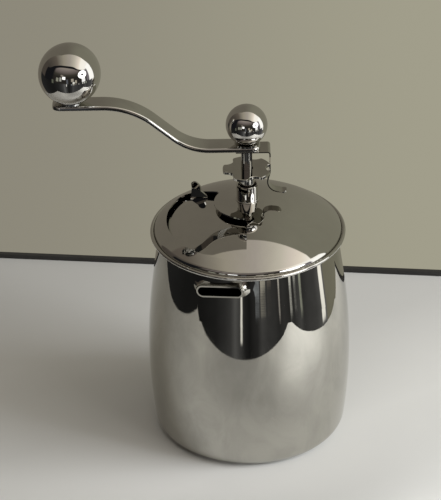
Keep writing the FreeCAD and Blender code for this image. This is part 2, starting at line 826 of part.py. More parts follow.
def make_leaf():
    z = arm_underside - leaf_thick / 2
    body = strip(
        (-leaf_back, z), 0.0, leaf_thick, leaf_width,
        leaf_reach - leaf_bend + leaf_back, (leaf_bend, -90), leaf_drop,
        (leaf_kink, -leaf_kink_angle), leaf_shin, (leaf_knee, leaf_knee_angle), leaf_slope,
        (leaf_toe_bend, leaf_toe_angle), leaf_toe)
    # seen along X the strip narrows to a tail
    high = arm_underside + leaf_thick
    shoulder = arm_underside - leaf_shoulder
    neck = arm_underside - leaf_neck
    end = tube_top - tube_height
    wide = leaf_width / 2
    narrow = leaf_tail_width / 2
    side = Part.makePolygon([
        V(0, -wide, high), V(0, wide, high), V(0, wide, shoulder), V(0, narrow, neck), V(0, narrow, end),
        V(0, -narrow, end), V(0, -narrow, neck), V(0, -wide, shoulder), V(0, -wide, high)])
    side.translate(V(-2 * leaf_reach, 0, 0))
    cutter = Part.Face(side).extrude(V(5 * leaf_reach, 0, 0))
    hole = flatted(shaft_radius + seat, drive_flat + seat, shaft_shoulder - 1, arm_underside + 1)
    leaf = body.common(cutter).cut(hole)
    tip = [e for e in leaf.Edges
           if abs(e.Length - leaf_thick) < 1e-6 and e.BoundBox.XMin > leaf_reach + leaf_knee]
    return leaf.makeFillet(leaf_tip_round, tip)


def make_arm():
    z = arm_underside + arm_thick / 2
    bend = 1 - math.cos(math.radians(arm_angle))
    slope = (arm_rise - (arm_low_bend + arm_high_bend) * bend) / math.sin(math.radians(arm_angle))
    run = arm_flat + (arm_low_bend + arm_high_bend) * math.sin(math.radians(arm_angle))
    run += slope * math.cos(math.radians(arm_angle))
    body = strip(
        (arm_inner_end, z), 180.0, arm_thick, arm_width,
        arm_inner_end + arm_flat, (arm_low_bend, -arm_angle), slope,
        (arm_high_bend, arm_angle), arm_outer_end - run)
    length = arm_inner_end + arm_outer_end
    high = arm_rise + 4 * arm_thick
    plan = Part.makeBox(length, arm_width, high, V(-arm_outer_end, -arm_width / 2, arm_underside - arm_thick))
    upright = [e for e in plan.Edges if abs(e.BoundBox.ZLength - high) < 1e-6]
    body = body.common(plan.makeFillet(arm_corner, upright))
    body = body.makeFillet(arm_round, long_edges(body))
    stem = Part.makeCylinder(axle_stem + seat, high, V(-knob_reach, 0, arm_underside))
    hole = flatted(shaft_radius + seat, drive_flat + seat, arm_underside - 1, arm_top + 1)
    return body.cut(stem).cut(hole)


def long_edges(body):
    # the edges round the strip's top and bottom faces
    return [e for e in body.Edges if abs(e.BoundBox.ZLength - arm_thick) > 1e-3 or e.BoundBox.XLength > 1]


def make_finial_washer():
    return ring(finial_washer_radius, stub_radius + washer_gap, arm_top, arm_top + finial_washer)


def make_ball_nut():
    low = arm_top + finial_washer
    ball = Part.makeSphere(finial_radius, V(0, 0, arm_top + finial_middle))
    flat = disc(finial_radius, arm_top - finial_washer, low)
    return ball.cut(flat).cut(disc(stub_radius + seat, arm_top, stub_top + 1))


# The knob turns on an axle riveted into the arm

outer_top = arm_top + arm_rise
outer_under = outer_top - arm_thick
knob_bottom = outer_top + knob_washer + knob_gap
knob_middle = knob_bottom - knob_flat + knob_radius
bush_low = knob_bottom + play
axle_head_low = bush_low + axle_length


def at_knob(shape):
    shape.translate(V(-knob_reach, 0, 0))
    return shape


def make_axle():
    stem = disc(axle_stem, outer_under, outer_top)
    pivot = disc(axle_radius, outer_top, axle_head_low)
    head = disc(axle_head_radius, axle_head_low, axle_head_low + axle_head)
    ball = (rivet_radius ** 2 + rivet_head ** 2) / (2 * rivet_head)
    rivet = Part.makeSphere(ball, V(0, 0, outer_under - rivet_head + ball)).common(
        disc(rivet_radius, outer_under - rivet_head, outer_under))
    return at_knob(stem.fuse([pivot, head, rivet]).removeSplitter())


def make_knob_washer():
    return at_knob(ring(knob_washer_radius, axle_radius + washer_gap, outer_top, outer_top + knob_washer))


def make_knob_bush():
    return at_knob(ring(knob_bush_radius, axle_radius + running_fit, bush_low, axle_head_low - play))


def make_knob():
    ball = Part.makeSphere(knob_radius, V(0, 0, knob_middle))
    flat = disc(knob_radius, knob_middle - knob_radius - 1, knob_bottom)
    bore = disc(knob_bush_radius, knob_bottom - knob_radius, axle_head_low + axle_head + knob_head_room)
    return at_knob(ball.cut(flat).cut(bore))


parts = {
    "can": make_can,
    "lid": make_lid,
    "door": make_door,
    "bearing_tube": make_tube,
    "upper_bush": make_upper_bush,
    "door_clip": make_door_clip,
    "door_spacer": make_door_spacer,
    "hopper": make_hopper,
    "bridge": make_bridge,
    "bridge_bush": make_bridge_bush,
    "ring_burr": make_ring_burr,
    "burr_screws": make_burr_screws,
    "spring": make_spring,
    "thrust_washer": make_thrust_washer,
    "shaft": make_shaft,
    "cone_burr": make_cone_burr,
    "burr_washer": make_burr_washer,
    "burr_nut": make_burr_nut,
    "keyed_washer": make_keyed_washer,
    "star_wheel": make_star_wheel,
    "lock_spring": make_leaf,
    "crank_arm": make_arm,
    "finial_washer": make_finial_washer,
    "ball_nut": make_ball_nut,
    "knob_axle": make_axle,
    "knob_washer": make_knob_washer,
    "knob_bush": make_knob_bush,
    "knob_ball": make_knob,
}

os.makedirs("parts", exist_ok=True)
for name, make in parts.items():
    shape = make()
    shape.exportStep("parts/" + name + ".step")
    state = "ok" if shape.isValid() else "NOT VALID"
    print(name, len(shape.Solids), "solid", round(shape.Volume), "mm3", state)
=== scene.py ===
import bpy, bmesh
from math import sin, cos, pi, radians, degrees, sqrt, atan2
from mathutils import Vector, Matrix


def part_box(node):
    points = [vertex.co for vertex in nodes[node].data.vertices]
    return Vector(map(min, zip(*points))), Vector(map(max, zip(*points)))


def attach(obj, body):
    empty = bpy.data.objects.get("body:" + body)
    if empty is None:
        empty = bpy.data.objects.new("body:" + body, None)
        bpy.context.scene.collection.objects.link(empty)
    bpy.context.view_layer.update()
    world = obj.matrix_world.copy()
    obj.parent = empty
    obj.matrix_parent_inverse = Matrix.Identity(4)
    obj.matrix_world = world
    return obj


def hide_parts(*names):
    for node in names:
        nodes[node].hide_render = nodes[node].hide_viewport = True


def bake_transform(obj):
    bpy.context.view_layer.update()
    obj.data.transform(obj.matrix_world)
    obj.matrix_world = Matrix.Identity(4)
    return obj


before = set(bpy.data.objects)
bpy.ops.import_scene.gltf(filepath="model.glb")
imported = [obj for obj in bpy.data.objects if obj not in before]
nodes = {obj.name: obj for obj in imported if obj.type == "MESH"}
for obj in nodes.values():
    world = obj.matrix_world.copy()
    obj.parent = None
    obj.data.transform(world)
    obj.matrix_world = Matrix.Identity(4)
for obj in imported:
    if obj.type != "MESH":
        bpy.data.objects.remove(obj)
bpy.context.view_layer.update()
mm = 0.001
print("frame loaded:", len(nodes), "nodes")


# shader nodes that the materials and the room share

def setInputs(tree, node, values):
    # another node's output is linked; a number or a colour goes in as it is
    for label, value in values.items():
        if isinstance(value, bpy.types.NodeSocket):
            tree.links.new(value, node.inputs[label])
        else:
            node.inputs[label].default_value = value


def rgba(shade):
    # one number is a grey
    return (shade, shade, shade, 1) if isinstance(shade, (int, float)) else (*shade, 1)


def mathNode(tree, operation, *values, clamp=False):
    node = tree.nodes.new("ShaderNodeMath")
    node.operation = operation
    node.use_clamp = clamp
    setInputs(tree, node, dict(enumerate(values)))
    return node.outputs[0]


def lengthNode(tree, a, b):
    aa = mathNode(tree, "MULTIPLY", a, a)
    bb = mathNode(tree, "MULTIPLY", b, b)
    return mathNode(tree, "SQRT", mathNode(tree, "ADD", aa, bb))


def splitNode(tree, vector):
    node = tree.nodes.new("ShaderNodeSeparateXYZ")
    tree.links.new(vector, node.inputs[0])
    return node.outputs


def stretchNode(tree, vector, scale):
    node = tree.nodes.new("ShaderNodeMapping")
    setInputs(tree, node, {"Vector": vector, "Scale": scale})
    return node.outputs["Vector"]


def noiseNode(tree, vector, scale, detail, roughness, distortion=0.0):
    node = tree.nodes.new("ShaderNodeTexNoise")
    setInputs(tree, node, {"Vector": vector, "Scale": scale, "Detail": detail, "Roughness": roughness,
                           "Distortion": distortion})
    return node.outputs["Fac"]


def mapRange(tree, value, low, high, toLow=0.0, toHigh=1.0, smooth=True):
    node = tree.nodes.new("ShaderNodeMapRange")
    node.interpolation_type = "SMOOTHSTEP" if smooth else "LINEAR"
    setInputs(tree, node, {
        "Value": value, "From Min": low, "From Max": high, "To Min": toLow, "To Max": toHigh})
    return node.outputs["Result"]


def rampNode(tree, value, stops):
    node = tree.nodes.new("ShaderNodeValToRGB")
    ramp = node.color_ramp
    while len(ramp.elements) < len(stops):
        ramp.elements.new(0.5)
    for element, (place, shade) in zip(ramp.elements, stops):
        element.position = place
        element.color = rgba(shade)
    tree.links.new(value, node.inputs["Fac"])
    return node.outputs["Color"]


def placedRamp(tree, value, stops, unit=1.0):
    # the stops' places are in value's own units, or in the unit given
    low, high = stops[0][0], stops[-1][0]
    part = mapRange(tree, value, low * unit, high * unit, smooth=False)
    return rampNode(tree, part, [((place - low) / (high - low), shade) for place, shade in stops])


def mixNode(tree, factor, a, b, blend="MIX"):
    node = tree.nodes.new("ShaderNodeMix")
    node.data_type = "RGBA"
    node.blend_type = blend
    setInputs(tree, node, {"Factor": factor, "A": a, "B": b})
    return node.outputs["Result"]


def newGroup(name, inputs, outputs):
    group = bpy.data.node_groups.new(name, "ShaderNodeTree")
    for label, kind in inputs:
        group.interface.new_socket(name=label, in_out="INPUT", socket_type=kind)
    for label, kind in outputs:
        group.interface.new_socket(name=label, in_out="OUTPUT", socket_type=kind)
    return group, group.nodes.new("NodeGroupInput"), group.nodes.new("NodeGroupOutput")


def placeGroup(tree, group, values):
    node = tree.nodes.new("ShaderNodeGroup")
    node.node_tree = group
    setInputs(tree, node, values)
    return node.outputs


def newMaterial(name):
    material = bpy.data.materials.new(name)
    material.use_nodes = True
    tree = material.node_tree
    coords = tree.nodes.new("ShaderNodeTexCoord").outputs["Object"]
    return material, tree, tree.nodes["Principled BSDF"], coords


# smudges are soft finger marks, broken up by a fine grain; clouds are slow changes of tone
handlingLook = dict(
    smudges=dict(detail=4.0, roughness=0.55, distortion=0.6), smudgeEdges=(0.48, 0.72),
    grain=dict(scale=900.0, detail=2.0, roughness=0.6), grainEdges=(0.3, 0.7), leastGrain=0.4,
    clouds=dict(scale=55.0, detail=5.0, roughness=0.6, distortion=1.0), cloudEdges=(0.3, 0.7),
    drawnOut=(1.0, 1.0, 0.55))


def buildHandling():
    group, start, end = newGroup(
        "handlingMarks",
        [("Vector", "NodeSocketVector"), ("Patch Scale", "NodeSocketFloat"), ("Amount", "NodeSocketFloat")],
        [("Mask", "NodeSocketFloat"), ("Tone", "NodeSocketFloat")])
    s = handlingLook
    vector = start.outputs["Vector"]
    smudges = noiseNode(group, vector, start.outputs["Patch Scale"], **s["smudges"])
    smudges = mapRange(group, smudges, *s["smudgeEdges"])
    grain = mapRange(group, noiseNode(group, vector, **s["grain"]), *s["grainEdges"], s["leastGrain"])
    mask = mathNode(group, "MULTIPLY", smudges, grain)
    mask = mathNode(group, "MULTIPLY", mask, start.outputs["Amount"], clamp=True)
    # clouds drawn out downwards, as a cloth leaves them
    clouds = noiseNode(group, stretchNode(group, vector, s["drawnOut"]), **s["clouds"])
    setInputs(group, end, {"Mask": mask, "Tone": mapRange(group, clouds, *s["cloudEdges"])})
    return group


# very fine lines left by the polishing wheel: noise cells per metre across and along them, and per radian
# where they run round; depth in metres
polishLook = dict(noise=dict(scale=1.0, detail=4.0, roughness=0.65), across=2600.0, along=60.0, perRadian=1.5,
                  depth=0.0002, smudgeShade=0.9)


def buildPolishLines():
    group, start, end = newGroup(
        "polishLines", [("Vector", "NodeSocketVector")], [("Height", "NodeSocketFloat")])
    setInputs(group, end, {"Height": noiseNode(group, start.outputs["Vector"], **polishLook["noise"])})
    return group


handling = buildHandling()
polishLines = buildPolishLines()


# rough: clean metal. roughMore: what smudges add. patch: smudges to a metre. cloud: how far the tone drops.
# ringed: the polishing lines run round the Z axis, otherwise along X. bump: how strong they are
steelFinishes = {
    "canSteel": dict(shade=(0.515, 0.502, 0.46), rough=0.014, roughMore=0.10, smudge=0.5, patch=26,
                     cloud=0.16, ringed=True, bump=0.006),
    "lidSteel": dict(shade=(0.62, 0.61, 0.585), rough=0.012, roughMore=0.08, smudge=0.5, patch=34,
                     cloud=0.05, ringed=True, bump=0.006),
    "doorSteel": dict(shade=(0.62, 0.61, 0.585), rough=0.016, roughMore=0.08, smudge=0.5, patch=40,
                      cloud=0.06, ringed=True, bump=0.008),
    "ballSteel": dict(shade=(0.62, 0.61, 0.585), rough=0.01, roughMore=0.05, smudge=0.5, patch=60,
                      cloud=0.05, ringed=False, bump=0.0015),
    "armSteel": dict(shade=(0.60, 0.59, 0.565), rough=0.045, roughMore=0.10, smudge=0.6, patch=50,
                     cloud=0.12, ringed=False, bump=0.006),
    "tubeSteel": dict(shade=(0.60, 0.59, 0.56), rough=0.03, roughMore=0.08, smudge=0.5, patch=70,
                      cloud=0.08, ringed=True, bump=0.003),
    "smallSteel": dict(shade=(0.52, 0.51, 0.475), rough=0.05, roughMore=0.10, smudge=0.6, patch=70,
                       cloud=0.12, ringed=True, bump=0.004),
    "springSteel": dict(shade=(0.60, 0.60, 0.60), rough=0.16, roughMore=0.15, smudge=0.7, patch=90,
                        cloud=0.1, ringed=False, bump=0.05),
    "shaftSteel": dict(shade=(0.50, 0.49, 0.46), rough=0.06, roughMore=0.10, smudge=0.6, patch=80,
                       cloud=0.1, ringed=True, bump=0.005),
    "zincSteel": dict(shade=(0.64, 0.66, 0.68), rough=0.24, roughMore=0.18, smudge=0.7, patch=90,
                      cloud=0.1, ringed=True, bump=0.05),
    "burrSteel": dict(shade=(0.36, 0.36, 0.37), rough=0.30, roughMore=0.22, smudge=0.8, patch=120,
                      cloud=0.2, ringed=True, bump=0.12),
    "castSteel": dict(shade=(0.42, 0.42, 0.42), rough=0.42, roughMore=0.20, smudge=0.8, patch=150,
                      cloud=0.2, ringed=False, bump=0.25),
    "bronze": dict(shade=(0.56, 0.36, 0.18), rough=0.32, roughMore=0.20, smudge=0.8, patch=160,
                   cloud=0.2, ringed=True, bump=0.10),
}


def lineVector(tree, coords, ringed):
    # stretched along the polishing lines: radius, angle and height where they run round
    s = polishLook
    if not ringed:
        return stretchNode(tree, coords, (s["along"], s["across"], s["across"]))
    x, y, z = splitNode(tree, coords)
    join = tree.nodes.new("ShaderNodeCombineXYZ")
    setInputs(tree, join, {
        "X": mathNode(tree, "MULTIPLY", lengthNode(tree, x, y), s["across"]),
        "Y": mathNode(tree, "MULTIPLY", mathNode(tree, "ARCTAN2", y, x), s["perRadian"]),
        "Z": mathNode(tree, "MULTIPLY", z, s["across"])})
    return join.outputs[0]


def makeSteel(name, shade, rough, roughMore, smudge, patch, cloud, ringed, bump):
    material, tree, shader, coords = newMaterial(name)
    marks = placeGroup(tree, handling, {"Vector": coords, "Patch Scale": patch, "Amount": smudge})
    smudgeShade = [c * polishLook["smudgeShade"] for c in shade]
    smudged = mixNode(tree, marks["Mask"], rgba(shade), rgba(smudgeShade))
    tone = rampNode(tree, marks["Tone"], [(0.0, 1.0 - cloud), (1.0, 1.0)])
    lines = placeGroup(tree, polishLines, {"Vector": lineVector(tree, coords, ringed)})
    relief = tree.nodes.new("ShaderNodeBump")
    setInputs(tree, relief, {"Strength": bump, "Distance": polishLook["depth"], "Height": lines["Height"]})
    setInputs(tree, shader, {
        "Metallic": 1.0,
        "Base Color": mixNode(tree, 1.0, smudged, tone, "MULTIPLY"),
        "Roughness": mathNode(tree, "ADD", mathNode(tree, "MULTIPLY", marks["Mask"], roughMore), rough),
        "Normal": relief.outputs["Normal"]})
    return material


steels = {name: makeSteel(name, **look) for name, look in steelFinishes.items()}
print("materials:", len(steels))


# the finish of each carried-over node; those not named are zinc plated
nodeFinishes = {
    "can": "canSteel", "lid": "lidSteel", "hopper": "lidSteel", "door": "doorSteel",
    "bearing_tube": "tubeSteel", "star_wheel": "smallSteel", "lock_spring": "smallSteel",
    "crank_arm": "armSteel", "finial_washer": "smallSteel", "ball_nut": "ballSteel", "knob_ball": "ballSteel",
    "knob_axle": "shaftSteel", "shaft": "shaftSteel", "spring": "springSteel", "door_clip": "springSteel",
    "ring_burr": "burrSteel", "cone_burr": "burrSteel", "bridge": "castSteel",
    "upper_bush": "bronze", "bridge_bush": "bronze", "knob_bush": "bronze",
}
for name, node in nodes.items():
    for slot in node.material_slots:
        slot.material = steels[nodeFinishes.get(name, "zincSteel")]
print("finishes on nodes")


def addPiece(name, bm, material):
    # turns the faces outwards and puts the mesh in the scene
    bmesh.ops.recalc_face_normals(bm, faces=bm.faces)
    mesh = bpy.data.meshes.new(name)
    bm.to_mesh(mesh)
    bm.free()
    mesh.materials.append(material)
    piece = bpy.data.objects.new(name, mesh)
    bpy.context.scene.collection.objects.link(piece)
    print(name + ":", len(mesh.polygons), "faces")
    return piece


# crank arm: the S strip again, with the upper edge of its section rolled over, as punched sheet has; in mm,
# the angle in degrees
armStrip = dict(
    flat=24.9, lowBend=28.0, highBend=38.7, angle=40.9, rise=25.05, thick=2.3, width=11.5, corner=4.2,
    topRound=1.25, underRound=0.35, roundSteps=7, bendSteps=40, endSteps=14)


def armPath(foot, start, end):
    # x, z and heading along the strip's middle, from the shaft's end to the knob's end
    s = armStrip
    turned = radians(s["angle"])
    slope = (s["rise"] - (s["lowBend"] + s["highBend"]) * (1 - cos(turned))) / sin(turned)
    cornerSteps = [s["corner"] * (1 - cos(pi / 2 * i / s["endSteps"])) for i in range(s["endSteps"] + 1)]
    x, z, heading = start, foot + s["thick"] / 2, pi
    stations = [(x - step, z, heading) for step in cornerSteps]
    x -= s["flat"]
    for radius, bend, straight in ((s["lowBend"], -turned, slope), (s["highBend"], turned, 0)):
        toCentre = pi / 2 if bend > 0 else -pi / 2
        centreX = x + radius * cos(heading + toCentre)
        centreZ = z + radius * sin(heading + toCentre)
        for i in range(s["bendSteps"] + 1):
            now = heading + bend * i / s["bendSteps"]
            x = centreX - radius * cos(now + toCentre)
            z = centreZ - radius * sin(now + toCentre)
            stations.append((x, z, now))
        heading += bend
        x += straight * cos(heading)
        z += straight * sin(heading)
    return stations + [(end + step, z, pi) for step in reversed(cornerSteps)]


def quarterRound(radius, inset):
    # how high a quarter circle stands at this distance from its foot
    gap = max(0.0, radius - inset)
    return sqrt(radius * radius - gap * gap)


def armSection(halfWidth, fromEnd):
    # one closed outline of the strip: across it, and up from its middle
    s = armStrip
    half = s["thick"] / 2
    points = []
    for side, up in ((1, 1), (-1, 1), (-1, -1), (1, -1)):
        size = s["topRound"] if up > 0 else s["underRound"]
        level = half - size + quarterRound(size, fromEnd)
        size = min(size, level + half / 2)    # ends at most thick / 4 past the middle
        steps = [i / s["roundSteps"] * pi / 2 for i in range(s["roundSteps"] + 1)]
        if side * up < 0:
            steps.reverse()
        for a in steps:
            points.append((side * (halfWidth - size + size * cos(a)), up * (level - size + size * sin(a))))
    return points


def bridgeRings(bm, rings):
    # joins rings of points one to the next, and closes the first and the last
    loops = []
    for points in rings:
        verts = [bm.verts.new(point) for point in points]
        loops.append([bm.edges.new(pair) for pair in zip(verts, verts[1:] + verts[:1])])
    for one, two in zip(loops, loops[1:]):
        bmesh.ops.bridge_loops(bm, edges=one + two)
    for loop in (loops[0], loops[-1]):
        bmesh.ops.contextual_create(bm, geom=loop)


def makeArm():
    s = armStrip
    low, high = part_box("crank_arm")
    start, end = high[0] / mm, low[0] / mm
    rings = []
    for x, z, heading in armPath(low[2] / mm, start, end):
        fromEnd = min(start - x, x - end)
        halfWidth = s["width"] / 2 - s["corner"] + quarterRound(s["corner"], fromEnd)
        # a heading of pi points to -X, so the strip's own up is straight up there
        rings.append([((x + up * sin(heading)) * mm, across * mm, (z - up * cos(heading)) * mm)
                      for across, up in armSection(halfWidth, fromEnd)])
    bm = bmesh.new()
    bridgeRings(bm, rings)
    for face in bm.faces:
        face.smooth = len(face.verts) == 4    # all but the two ends
    arm = addPiece("armStrip", bm, steels["armSteel"])
    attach(arm, "crank")
    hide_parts("crank_arm")


makeArm()


def makeSpring():
    # a smooth-shaded copy of the spring node, baked in place
    bm = bmesh.new()
    bm.from_mesh(nodes["spring"].data)
    bmesh.ops.remove_doubles(bm, verts=bm.verts, dist=1e-6)
    for face in bm.faces:
        face.smooth = True
    spring = addPiece("burrSpring", bm, steels["springSteel"])
    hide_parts("spring")
    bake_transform(spring)


makeSpring()


# table top, in mm. The first list of tones is painted light and shade: the paint made lighter or darker along
# brighterTo, over across, for how unevenly the table is lit. The near list is painted light and shade from
# left to right where it is nearer than nearFrom or further right than rightFrom, which the can's side shows:
# a painted pool of light at the right and painted shade at the front left
tableLook = dict(
    colour=(0.70, 0.705, 0.69), corners=[(-272, -172), (208, -226), (207, 125.6), (-254, 177.8)], thick=18.0,
    brighterTo=(0.55, -0.83), across=(-250, 250),
    paintedLight=[(0.0, 0.69), (0.16, 0.78), (0.28, 0.88), (0.42, 0.91), (0.50, 1.04), (0.57, 1.16), (0.62, 1.12),
            (0.67, 1.03), (0.73, 1.0), (1.0, 1.04)],
    nearPaintedLight=[(-150, 0.98), (-95, 0.76), (-50, 0.73), (16, 0.81), (55, 1.0), (85, 1.3), (200, 1.3)],
    nearFrom=(58, 120), rightFrom=(106, 180),
    worn=dict(scale=12.0, detail=4.0, roughness=0.6), wornShades=[(0.3, 0.975), (0.7, 1.0)], roughness=0.5)


def makeSlab(name, corners, high, low, material):
    # a face through the corners, drawn down from high to low
    bm = bmesh.new()
    bm.faces.new([bm.verts.new((x * mm, y * mm, high * mm)) for x, y in corners])
    drawn = bmesh.ops.extrude_face_region(bm, geom=list(bm.faces))["geom"]
    lower = [v for v in drawn if isinstance(v, bmesh.types.BMVert)]
    bmesh.ops.translate(bm, verts=lower, vec=(0, 0, (low - high) * mm))
    slab = addPiece(name, bm, material)


def makeTable():
    s = tableLook
    material, tree, shader, coords = newMaterial("tablePaintAndPaintedLight")
    x, y = splitNode(tree, coords)[:2]
    sideways = mathNode(tree, "MULTIPLY", x, s["brighterTo"][0])
    forward = mathNode(tree, "MULTIPLY", y, s["brighterTo"][1])
    along = mathNode(tree, "ADD", sideways, forward)
    along = mapRange(tree, along, *[a * mm for a in s["across"]], smooth=False)
    # painted light and shade: the paint's tone rises and falls along brighterTo
    paintAndPaintedShading = rampNode(tree, along, [(place, [c * tone for c in s["colour"]]) for place, tone in s["paintedLight"]])
    # painted light and shade near the front and at the right, which the can's side reflects
    isNear = mapRange(tree, mathNode(tree, "MULTIPLY", y, -1.0), *[a * mm for a in s["nearFrom"]])
    isRight = mapRange(tree, x, *[a * mm for a in s["rightFrom"]])
    paintedNearLight = placedRamp(tree, x, s["nearPaintedLight"], mm)
    paintAndPaintedShading = mixNode(tree, mathNode(tree, "MAXIMUM", isNear, isRight), paintAndPaintedShading, paintedNearLight, "MULTIPLY")
    worn = rampNode(tree, noiseNode(tree, coords, **s["worn"]), s["wornShades"])
    setInputs(tree, shader, {
        "Base Color": mixNode(tree, 1.0, paintAndPaintedShading, worn, "MULTIPLY"), "Roughness": s["roughness"]})
    makeSlab("tableTop", s["corners"], 0.0, -s["thick"], material)


# a near-black strip between the table's back edge and the wall, painted shade for the gap there, in mm; high
# and low from the table's top
paintedGapShade = dict(gap=0.2, deep=3.0, high=2.5, low=-18.0, shade=(0.035, 0.034, 0.032),
                 dust=dict(scale=30.0, detail=3.0, roughness=0.6), dustEdges=(0.3, 0.7), dustTone=0.7,
                 roughness=0.8)


def makePaintedGapShade():
    s = paintedGapShade
    (rightX, rightY), (leftX, leftY) = tableLook["corners"][2:]
    material, tree, shader, coords = newMaterial("paintedGapShadePaint")
    low, high = s["dustEdges"]
    dust = noiseNode(tree, coords, **s["dust"])
    # the strip's near-black is painted shade, mottled by dust
    paintAndPaintedShading = rampNode(tree, dust, [(low, [c * s["dustTone"] for c in s["shade"]]), (high, s["shade"])])
    setInputs(tree, shader, {"Base Color": paintAndPaintedShading, "Roughness": s["roughness"]})
    corners = [(rightX, rightY + s["gap"]), (rightX, rightY + s["deep"]),
               (leftX, leftY + s["deep"]), (leftX, leftY + s["gap"])]
    makeSlab("paintedGapShade", corners, s["high"], s["low"], material)


# the world is a plain room, and its places are directions in degrees: turn 0 is in front (-Y) and + is
# towards +X, height 0 is level; soft is half the width of an edge

def skyPlaces(tree):
    coords = tree.nodes.new("ShaderNodeTexCoord").outputs["Generated"]
    x, y, z = splitNode(tree, coords)
    front = mathNode(tree, "MULTIPLY", y, -1.0)
    turn = mathNode(tree, "MULTIPLY", mathNode(tree, "ARCTAN2", x, front), degrees(1))
    height = mathNode(tree, "MULTIPLY", mathNode(tree, "ARCTAN2", z, lengthNode(tree, x, y)), degrees(1))
    return dict(x=x, y=y, z=z, turn=turn, height=height)


def rises(tree, value, place, soft):
    return mapRange(tree, value, place - soft, place + soft)


def falls(tree, value, place, soft):
    return mapRange(tree, value, place - soft, place + soft, 1.0, 0.0)


def band(tree, value, low, high, soft):
    return mathNode(tree, "MULTIPLY", rises(tree, value, low, soft), falls(tree, value, high, soft))


def patchOn(tree, sky, room, turns, heights, softTurn, softHeight, shade):
    across = band(tree, sky["turn"], *turns, softTurn)
    upright = band(tree, sky["height"], *heights, softHeight)
    return mixNode(tree, mathNode(tree, "MULTIPLY", across, upright), room, rgba(shade))


# ceiling: shades from left to right, where the window is. beamTop, beamFoot: turn and height along its edges.
# farWall: shades from level to straight up. patches: turns, heights, softness of each, shade.
# floor: turn and tone of the upright strips under floorTop
roomLook = dict(
    ceiling=[(0.0, (0.05, 0.045, 0.04)), (0.19, (0.158, 0.134, 0.108)), (0.26, (0.276, 0.25, 0.205)),
             (0.365, (0.44, 0.40, 0.32)), (0.54, (0.54, 0.49, 0.43)), (0.63, (0.69, 0.64, 0.54)),
             (0.68, (0.80, 0.75, 0.63)), (0.735, (1.0, 0.90, 0.79)), (0.785, (1.22, 1.11, 0.95)),
             (0.825, (1.45, 1.40, 1.28)), (1.0, (1.5, 1.48, 1.42))],
    dark=(0.012, 0.012, 0.014), beamTopSoft=0.8, beamFootSoft=1.2,
    beamTop=[(-180, 17), (-110, 17), (-96, 19), (-68, 41), (-30, 54), (13, 53), (46, 35), (74, 22),
             (100, 18), (180, 18)],
    beamFoot=[(-180, 13), (-110, 13), (-91, 15), (-62, 35), (-25, 47), (11, 45), (37, 35), (62, 24),
              (100, 14), (180, 14)],
    farWall=[(0.13, (0.030, 0.027, 0.024)), (0.24, (0.066, 0.060, 0.048)), (0.30, (0.143, 0.12, 0.11)),
             (0.42, (0.28, 0.24, 0.225)), (0.51, (0.40, 0.355, 0.305))],
    farWallTurns=(-60, 68), farWallSoft=5,
    patches=[((66, 82), (-14, 24), 3, 3, (0.24, 0.22, 0.24)),
             ((-123, -97), (-9, 22), 2, 3, (0.085, 0.072, 0.06))],
    floorTop=-11, floorSoft=3,
    floor=[(-130, 0.027), (-104, 0.022), (-80, 0.016), (-58, 0.014), (-39, 0.024), (-28, 0.046),
           (-21, 0.074), (-16, 0.149), (-12, 0.095), (-5, 0.027), (0, 0.016), (5, 0.03), (9, 0.036),
           (14, 0.088), (21, 0.061), (29, 0.057), (34, 0.041), (40, 0.057), (47, 0.038), (53, 0.047),
           (61, 0.095), (66, 0.054), (72, 0.072), (84, 0.088), (91, 0.135), (101, 0.203), (108, 0.108),
           (130, 0.068)])


def overEdge(tree, sky, points):
    # how far a direction is over an edge, whose height is a smooth curve over the turn
    node = tree.nodes.new("ShaderNodeFloatCurve")
    curve = node.mapping.curves[0]
    places = [((turn + 180) / 360, height / 90) for turn, height in points]
    curve.points[0].location = places[0]
    curve.points[1].location = places[-1]
    for place in places[1:-1]:
        curve.points.new(*place)
    node.mapping.update()
    setInputs(tree, node, {"Value": mapRange(tree, sky["turn"], -180, 180, smooth=False)})
    return mathNode(tree, "SUBTRACT", sky["height"], mathNode(tree, "MULTIPLY", node.outputs[0], 90.0))


def addWalls(tree, sky):
    s = roomLook
    dark = rgba(s["dark"])
    room = rampNode(tree, mapRange(tree, sky["x"], -1.0, 1.0, smooth=False), s["ceiling"])
    # a dark beam under the ceiling, and under it the far wall between dark sides
    underTop = falls(tree, overEdge(tree, sky, s["beamTop"]), 0.0, s["beamTopSoft"])
    underFoot = falls(tree, overEdge(tree, sky, s["beamFoot"]), 0.0, s["beamFootSoft"])
    wall = rampNode(tree, mapRange(tree, sky["height"], 0, 90, smooth=False), s["farWall"])
    wall = mixNode(tree, band(tree, sky["turn"], *s["farWallTurns"], s["farWallSoft"]), dark, wall)
    room = mixNode(tree, underTop, room, dark)
    room = mixNode(tree, underFoot, room, wall)
    for patch in s["patches"]:
        room = patchOn(tree, sky, room, *patch)
    # under the table's height: dark furniture
    floor = placedRamp(tree, sky["turn"], s["floor"])
    return mixNode(tree, falls(tree, sky["height"], s["floorTop"], s["floorSoft"]), room, floor)


